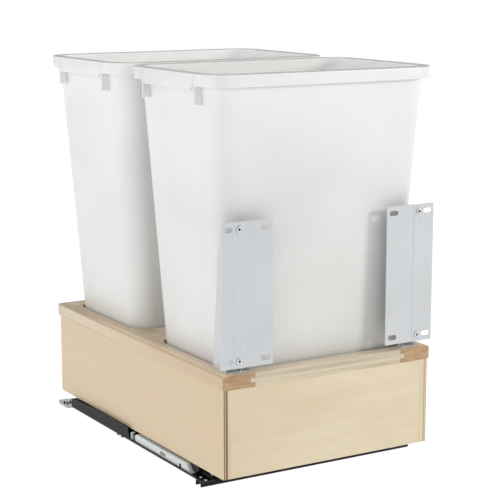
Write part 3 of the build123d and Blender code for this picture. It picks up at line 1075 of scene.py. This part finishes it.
@dataclass(frozen=True)
class Fastener:
    """Round head, turned to face along an axis, with a recess where it has a border round one.

    Sizes are in millimetres. The rounding and the recess's depth are shares of its rise.
    """

    radius: float
    rise: float
    border: float = 0.0
    rounding: float = 0.6
    depth: float = 0.7
    sides: int = 24
    crease: float = radians(40)

    def build(
        self,
        name: str,
        body: str,
        places: Iterable[Sequence[float]],
        turn: Matrix,
        materials: Sequence[bpy.types.Material],
    ) -> None:
        """Make one piece of several heads.

        Args:
            name: Name of the piece.
            body: CAD body that it moves with.
            places: Centres of the seats under the heads.
            turn: Rotation that takes +Z to the way the heads face.
            materials: Material of the heads, and of their recesses where they have them.
        """
        mesh = bmesh.new()
        for place in places:
            self.add(mesh, place, turn)
        for face in mesh.faces:
            face.smooth = True
        piece = finish_piece(mesh, name, body, materials)
        piece.data.set_sharp_from_angle(angle=self.crease)

    def add(self, mesh: bmesh.types.BMesh, place: Sequence[float], turn: Matrix) -> None:
        """Add one head to a mesh.

        Args:
            mesh: Mesh that it is added to.
            place: Centre of the seat under the head.
            turn: Rotation that takes +Z to the way the head faces.
        """
        radius, rise = self.radius * MM, self.rise * MM
        verts = bmesh.ops.create_cone(
            mesh,
            cap_ends=True,
            segments=self.sides,
            radius1=radius,
            radius2=radius,
            depth=rise,
            matrix=Matrix.Translation((0, 0, rise / 2)),
        )["verts"]
        made = bevel(mesh, list(self.top_face(verts).edges), rise * self.rounding, 3)
        verts = set(verts) | set(made["verts"])
        if self.border:
            flat = self.top_face(v for v in verts if v.is_valid)
            inner = bmesh.ops.inset_individual(mesh, faces=[flat], thickness=self.border * MM)
            sunk = bmesh.ops.extrude_discrete_faces(mesh, faces=[flat])["faces"][0]
            # the recess takes the second material; on the foot screws that is painted shade
            sunk.material_index = 1
            verts |= {v for f in inner["faces"] for v in f.verts} | set(sunk.verts)
            bmesh.ops.translate(mesh, vec=(0, 0, -rise * self.depth), verts=list(sunk.verts))
        seat = Matrix.Translation([v * MM for v in place]) @ turn
        bmesh.ops.transform(mesh, matrix=seat, verts=[v for v in verts if v.is_valid])

    @staticmethod
    def top_face(verts: Iterable[bmesh.types.BMVert]) -> bmesh.types.BMFace:
        """Highest of the faces round these vertices."""
        return max({f for v in verts for f in v.link_faces}, key=lambda f: f.calc_center_median().z)


@dataclass
class TelescopicSlide:
    """Three nested members on two rows of balls."""

    hand: str
    arris: float = 0.15 * MM
    cage_arris: float = 0.05 * MM
    ball: float = 4.5 * MM
    balls: int = 4
    tail_cut: tuple[float, float] = (0.234, 0.016)
    black: Coated = Coated("black_slide_steel", (0.007, 0.0075, 0.007), 0.5, gleam=0.2)
    zinc: Plated = Plated("zinc_slide_steel", (0.62, 0.63, 0.65), 0.32)
    cage: Plated = Plated("cage_strip", (0.52, 0.52, 0.54), 0.4)
    bearing: Plated = Plated("bearing_balls", (0.75, 0.76, 0.78), 0.12, 0.02)

    def build(self) -> None:
        """Dress the members and cages, and set round balls in them."""
        black, zinc, cage = self.black.material(), self.zinc.material(), self.cage.material()
        hand = self.hand
        for member, body, slot, finish in (
            ("cabinet", "base", "black_steel", black),
            ("middle", f"middle_{hand}", "zinc_steel", zinc),
            ("drawer", "drawer", "zinc_steel", zinc),
        ):
            node = f"{member}_member_{hand}"
            dress_node(node, body, [finish], self.arris, shape=self.trim_tail)
        for row in ("outer", "inner"):
            node = f"{row}_cage_{hand}"
            dress_node(node, node, [cage], self.cage_arris)
            self.build_balls(f"{row}_balls_{hand}", node)

    def trim_tail(self, mesh: bmesh.types.BMesh) -> None:
        """Bring a member's rear end forward, under the box.

        Args:
            mesh: Copy of the member, in metres.
        """
        start, cut = self.tail_cut
        tail = [v for v in mesh.verts if v.co.y > start]
        bmesh.ops.translate(mesh, vec=(0, -cut, 0), verts=tail)

    def build_balls(self, node: str, body: str) -> None:
        """Set two rows of round balls where a CAD node has them.

        Args:
            node: Name of the CAD node.
            body: Cage that they ride on.
        """
        low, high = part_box(node)
        radius = self.ball / 2
        mesh = bmesh.new()
        for x in (low.x + radius, high.x - radius):
            for n in range(self.balls):
                y = low.y + radius + (high.y - low.y - 2 * radius) * n / (self.balls - 1)
                place = Matrix.Translation((x, y, (low.z + high.z) / 2))
                bmesh.ops.create_uvsphere(
                    mesh, u_segments=20, v_segments=12, radius=radius, matrix=place
                )
        for face in mesh.faces:
            face.smooth = True
        bearing = [self.bearing.material()]
        finish_piece(mesh, f"{node}_round", body, bearing, [node])


@dataclass
class FloorHardware:
    """Crossbars, and on each side a runner, soft-close unit, striker and rear bracket.

    Sizes are in millimetres, and those of one side hold for both.
    """

    rivet: Fastener = Fastener(2.6, 1.4)
    rivet_places: Sequence[tuple[float, float]] = ((168.0, -203.0), (168.5, -217.0))
    bracket_screw: Fastener = Fastener(2.5, 1.2)
    bracket_face: float = 174.0
    bracket_places: Sequence[tuple[float, float]] = ((216.1, 13.0), (227.1, 8.5), (239.1, 6.5))
    bar_arris: float = 0.4
    arris: float = 0.3
    bracket_arris: float = 0.2
    runner_top: float = 9.0
    plate_x: float = 164.0
    plate_reach: float = 6.0
    lip_bend: float = 111.0
    lip_heights: tuple[float, float] = (26.0, 22.0)
    rear_lip_from: float = 20.0
    front_lip: float = 10.6
    front_lip_from: float = 12.0
    sunk_x: tuple[float, float] = (171.5, 173.7)
    slit_y: float = -152.9
    slit_half: float = 3.5
    slit_top: float = 13.0
    slit_raised: float = 15.5
    pad_y: float = -100.9
    pad_z: float = 15.0
    pad_half: tuple[float, float] = (8.5, 3.0)
    near: float = 0.2
    # painted highlight: a paler black on the runners' rounded edges, standing in for light caught
    # along them
    second_tone: Coated = Coated("painted_highlight_black_edge", (0.10, 0.105, 0.10), 0.4)
    black: Coated = Coated("black_floor_steel", (0.007, 0.0075, 0.007), 0.5, gleam=0.2)
    grey: Moulded = Moulded("pale_grey_plastic", (0.66, 0.68, 0.66), 0.32)
    pad: Moulded = Moulded("grey_pad_plastic", (0.34, 0.30, 0.30), 0.45)
    dark: Moulded = Moulded("black_plastic", (0.012, 0.013, 0.012), 0.4, gleam=0.2)
    zinc: Plated = Plated("zinc_bracket_steel", (0.42, 0.43, 0.45), 0.36)
    bright: Plated = Plated("bright_rivets", (0.85, 0.86, 0.88), 0.2, 0.05)

    def build(self) -> None:
        """Dress the two crossbars, then both sides' hardware."""
        plain = (self.black, self.grey, self.dark, self.zinc)
        black, grey, dark, zinc = (finish.material() for finish in plain)
        bright, pad, second_tone = (finish.material() for finish in (self.bright, self.pad, self.second_tone))
        bar, arris = self.bar_arris * MM, self.arris * MM
        for place in ("front", "rear"):
            dress_node(f"{place}_crossbar", "base", [black], bar)
        for hand, sign in (("left", -1), ("right", 1)):
            # the runner's rounded edges take the painted highlight
            dress_node(
                f"floor_runner_{hand}",
                "base",
                [black, second_tone],
                arris,
                shape=self.shape_runner,
                second_tone=1,
            )
            dress_node(
                f"soft_close_unit_{hand}",
                "base",
                [grey, pad, dark],
                bar,
                self.choose_unit,
                self.raise_slit,
            )
            for part, body, slot, finish, width in (
                ("spring_anchor", "base", "grey_plastic", grey, arris),
                ("striker", "drawer", "black_plastic", dark, arris),
                ("rear_bracket", "base", "zinc_steel", zinc, self.bracket_arris * MM),
            ):
                dress_node(f"{part}_{hand}", body, [finish], width)
            seats = [(sign * x, y, self.runner_top) for x, y in self.rivet_places]
            self.rivet.build(f"runner_rivets_{hand}", "base", seats, Matrix.Identity(4), [bright])
            outward = Matrix.Rotation(sign * pi / 2, 4, "Y")
            seats = [(sign * self.bracket_face, y, z) for y, z in self.bracket_places]
            self.bracket_screw.build(f"bracket_screws_{hand}", "base", seats, outward, [black])

    def shape_runner(self, mesh: bmesh.types.BMesh) -> None:
        """Run the plate in under the slide, and bend the lip's top edge along its run.

        Args:
            mesh: Copy of a floor runner, in metres.
        """
        everything = mesh.verts[:] + mesh.edges[:] + mesh.faces[:]
        bend = self.lip_bend * MM
        bmesh.ops.bisect_plane(mesh, geom=everything, plane_co=(0, bend, 0), plane_no=(0, 1, 0))
        high, low = self.lip_heights
        for vert in mesh.verts:
            x, y, z = (v / MM for v in vert.co)
            if abs(x) < self.plate_x:
                vert.co.x -= (1 if x > 0 else -1) * self.plate_reach * MM
            elif z > self.rear_lip_from:
                vert.co.z = (low if y > self.lip_bend + self.near else high) * MM
            elif z > self.front_lip_from:
                vert.co.z = self.front_lip * MM

    def raise_slit(self, mesh: bmesh.types.BMesh) -> None:
        """Lengthen the slit in the soft-close unit's flank upwards.

        Args:
            mesh: Copy of a soft-close unit, in metres.
        """
        for vert in mesh.verts:
            _, y, z = (v / MM for v in vert.co)
            if abs(z - self.slit_top) < self.near and abs(y - self.slit_y) < self.slit_half:
                vert.co.z = self.slit_raised * MM

    def choose_unit(self, face: bmesh.types.BMFace) -> int:
        """Choose the material of a soft-close unit's face.

        Args:
            face: Face of the unit's copy, in metres.

        Returns:
            0 on its body, 1 on the sunk pad and 2 in the slit.
        """
        x, y, z = (v / MM for v in face.calc_center_median())
        inner, outer = self.sunk_x
        if not inner < abs(x) < outer:
            return 0
        if abs(y - self.slit_y) < self.slit_half and z < self.slit_raised + self.near:
            return 2
        length, height = self.pad_half
        return int(abs(y - self.pad_y) < length and abs(z - self.pad_z) < height)


@dataclass
class DoorBrackets:
    """Slotted plates and their gusseted posts, with the screws that hold them.

    Sizes are in millimetres, and those of one side hold for both.
    """

    screw: Fastener = Fastener(3.6, 1.4, 1.24)
    foot_places: Sequence[tuple[float, float]] = ((138.5, -254.9), (151.5, -230.9))
    foot_top: float = 168.5
    plate_arris: float = 0.4
    post_arris: float = 0.3
    screw_arris: float = 0.2
    screw_x: float = 147.0
    screw_rows: tuple[float, float] = (186.5, 364.5)
    drive_radius: float = 2.2
    drive_floor: float = -271.0
    near: float = 0.1
    coat: Coated = Coated("pale_powder_coat", (0.63, 0.65, 0.67), 0.34)
    # painted highlight: a paler coat on the rounded edges of plates and posts, standing in for
    # light caught along them
    edge: Coated = Coated("painted_highlight_on_edges", (0.80, 0.82, 0.84), 0.3)
    zinc: Plated = Plated("zinc_screws", (0.72, 0.73, 0.75), 0.25)
    # painted shade: near-black in the screws' hexagon recesses, where shade falls
    painted_drive_shade: Coated = Coated("painted_shade_in_drive", (0.01, 0.01, 0.01), 0.6)

    def build(self) -> None:
        """Dress both plates, posts and screws."""
        coat = [self.coat.material(), self.edge.material()]
        steel = [self.zinc.material(), self.painted_drive_shade.material()]
        for hand, sign in (("left", -1), ("right", 1)):
            for part, arris in (("plate", self.plate_arris), ("post", self.post_arris)):
                # their rounded edges take the paler coat, a painted highlight
                dress_node(f"door_{part}_{hand}", "drawer", coat, arris * MM, second_tone=1)
            node = f"plate_screws_{hand}"
            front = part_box(node)[0].y / MM
            # faces in the hexagon recesses take the painted shade
            dress_node(
                node,
                "drawer",
                steel,
                self.screw_arris * MM,
                lambda face, front=front: int(self.in_drive(face, front)),
            )
            seats = [(sign * x, y, self.foot_top) for x, y in self.foot_places]
            self.screw.build(f"foot_screws_{hand}", "drawer", seats, Matrix.Identity(4), steel)

    def in_drive(self, face: bmesh.types.BMFace, front: float) -> bool:
        """Tell a plate screw's hexagon recess from the rest of it.

        Args:
            face: Face of the screws' copy, in metres.
            front: Front of their heads.

        Returns:
            Whether the face lies in a recess.
        """
        x, y, z = (v / MM for v in face.calc_center_median())
        away = min(Vector((abs(x) - self.screw_x, z - row)).length for row in self.screw_rows)
        return front + self.near < y < self.drive_floor and away < self.drive_radius


@dataclass
class Studio:
    """Pale floor, soft light and the camera. Places are in metres and angles in degrees."""

    camera_place: tuple[float, float, float] = (-1.15787, -1.97793, 0.70817)
    camera_dip: float = 10.59
    camera_turn: float = 31.05
    lens: float = 110.77
    film: float = 36.0
    sky: float = 0.3
    aim: tuple[float, float, float] = (0.0, 0.0, 0.3)
    floor_half: float = 60.0
    floor_gap: float = 0.0004
    floor_shade: Colour = (0.2, 0.2, 0.2)
    floor_glow: float = 0.95
    lamps: Sequence[tuple[str, tuple[float, float, float], float, float, Colour]] = (
        ("key", (1.8, -1.9, 1.1), 0.6, 26.0, (1.0, 0.985, 0.96)),
        ("fill", (-2.4, -0.8, 0.9), 1.2, 17.0, (0.94, 0.97, 1.0)),
        ("rear", (-1.4, 0.9, 0.7), 0.7, 2.2, (0.97, 0.985, 1.0)),
        ("top", (0.0, 0.1, 2.2), 1.2, 26.0, (1.0, 1.0, 1.0)),
    )

    def build(self) -> None:
        """Make the camera, the floor, the sky and the lamps."""
        self.build_camera()
        self.build_floor()
        self.build_light()

    def build_camera(self) -> None:
        """Stand the camera at the photograph's viewing angle."""
        data = bpy.data.cameras.new("camera")
        data.lens = self.lens
        data.sensor_width = self.film
        data.dof.use_dof = False
        camera = bpy.data.objects.new("camera", data)
        camera.location = self.camera_place
        camera.rotation_euler = (radians(90 - self.camera_dip), 0, radians(-self.camera_turn))
        bpy.context.scene.collection.objects.link(camera)
        bpy.context.scene.camera = camera

    def build_floor(self) -> None:
        """Lay a pale matt floor just under the feet."""
        mesh = bmesh.new()
        bmesh.ops.create_grid(mesh, x_segments=1, y_segments=1, size=self.floor_half)
        bmesh.ops.translate(mesh, vec=(0, 0, -self.floor_gap), verts=mesh.verts)
        data = bpy.data.meshes.new("floor")
        mesh.to_mesh(data)
        mesh.free()
        shader = Shader(
            "floor_paper",
            Roughness=0.9,
            Specular_IOR_Level=0.0,
            Emission_Color=(1.0, 1.0, 1.0, 1.0),
            Emission_Strength=self.floor_glow,
        )
        shade = shader.noise(shader.place, 3.0, 2.0)
        warm = tuple(v * 0.985 for v in self.floor_shade)
        shader.paint(Base_Color=shader.mix(shade, self.floor_shade, warm))
        data.materials.append(shader.material)
        floor = bpy.data.objects.new("floor", data)
        bpy.context.scene.collection.objects.link(floor)

    def build_light(self) -> None:
        """White surround, a key from the front right, a fill from the left and a top lamp."""
        scene = bpy.context.scene
        scene.view_settings.view_transform = "Standard"
        world = bpy.data.worlds.new("surround")
        world.use_nodes = True
        background = world.node_tree.nodes["Background"]
        background.inputs["Color"].default_value = (1.0, 1.0, 1.0, 1.0)
        background.inputs["Strength"].default_value = self.sky
        scene.world = world
        for name, place, size, power, tint in self.lamps:
            data = bpy.data.lights.new(name, "AREA")
            data.size = size
            data.energy = power
            data.color = tint
            lamp = bpy.data.objects.new(name, data)
            lamp.location = place
            way = Vector(self.aim) - Vector(place)
            lamp.rotation_euler = way.to_track_quat("-Z", "Y").to_euler()
            scene.collection.objects.link(lamp)


def main() -> None:
    """Build and dress every sub-assembly, then light it."""
    logging.basicConfig(level=logging.INFO, format="%(name)s %(message)s")
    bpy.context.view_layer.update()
    WoodenBox().build()
    for place in ("front", "rear"):
        WasteBin(f"{place}_bin").build()
    for hand in ("left", "right"):
        TelescopicSlide(hand).build()
    FloorHardware().build()
    DoorBrackets().build()
    Studio().build()


if __name__ == "__main__":
    main()
